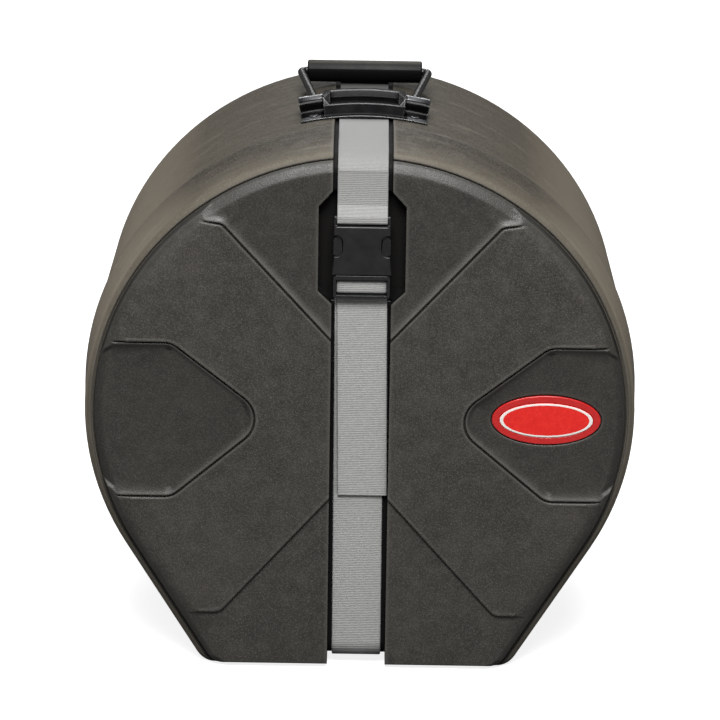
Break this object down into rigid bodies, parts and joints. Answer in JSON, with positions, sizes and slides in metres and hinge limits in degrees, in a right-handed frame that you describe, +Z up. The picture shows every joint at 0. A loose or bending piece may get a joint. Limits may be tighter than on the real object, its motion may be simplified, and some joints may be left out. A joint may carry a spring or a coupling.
{
  "type": "drum case",
  "caption": "Moulded hard case for a drum, standing on its flat base, with a lid held by a buckled webbing strap and a folding carrying handle.",
  "frame": {"origin": "centre of the case's box, on the ground under the flat base", "axes": "+Z up, -Y out of the lid's face, +X to the right seen from the front"},
  "size_m": [0.43, 0.2724, 0.437],
  "materials": {
    "shell": "leather-grain moulded",
    "foam": "open foam",
    "webbing": "woven",
    "steel": "gloss",
    "rivet": "gloss",
    "washer": "satin",
    "rod": "satin",
    "grip": "satin",
    "badge_ring": "gloss",
    "badge_cap": "gloss",
    "buckle": "semi-gloss"
  },
  "bodies": {
    "case_body": {"body_shell": "shell", "back_pad": "foam", "wall_pad": "foam", "handle_plate": "steel", "handle_rivets": "rivet", "handle_washers": "washer", "strap_body_run": "webbing", "strap_top_bridge": "webbing", "strap_base_bridge": "webbing"},
    "lid": {"lid_shell": "shell", "lid_pad": "foam", "badge_plate": "badge_ring", "badge_cap": "badge_cap", "buckle_receiver": "buckle", "strap_upper": "webbing", "strap_lid_base": "webbing", "strap_lower_run": "webbing"},
    "handle": {"handle_bail": "rod", "handle_grip": "grip"},
    "buckle_lower_half": {"buckle_tongue": "buckle", "strap_ladder_loop": "webbing", "strap_tail": "webbing"},
    "prong_left": {"left_prong": "buckle"},
    "prong_right": {"right_prong": "buckle"}
  },
  "joints": [
    {"name": "handle_fold", "type": "hinge", "parent": "case_body", "child": "handle", "pos_m": [0, -0.0052, 0.4223], "axis": [1, 0, 0], "range_deg": [0, 85]},
    {"name": "lid_slide", "type": "slide", "parent": "case_body", "child": "lid", "axis": [0, -1, 0], "range_m": [0, 0.06], "deforming": ["strap_top_bridge", "strap_base_bridge", "strap_tail"]},
    {"name": "buckle_release", "type": "slide", "parent": "lid", "child": "buckle_lower_half", "axis": [0, 0, -1], "range_m": [0, 0.032], "deforming": ["strap_lower_run", "left_prong", "right_prong"]},
    {"name": "left_prong_press", "type": "hinge", "parent": "buckle_lower_half", "child": "prong_left", "pos_m": [-0.0146, -0.1314, 0.3257], "axis": [0, 1, 0], "range_deg": [0, 6], "stiffness_Nm_per_rad": 2.5},
    {"name": "right_prong_press", "type": "hinge", "parent": "buckle_lower_half", "child": "prong_right", "pos_m": [0.0146, -0.1314, 0.3257], "axis": [0, -1, 0], "range_deg": [0, 6], "stiffness_Nm_per_rad": 2.5}
  ]
}
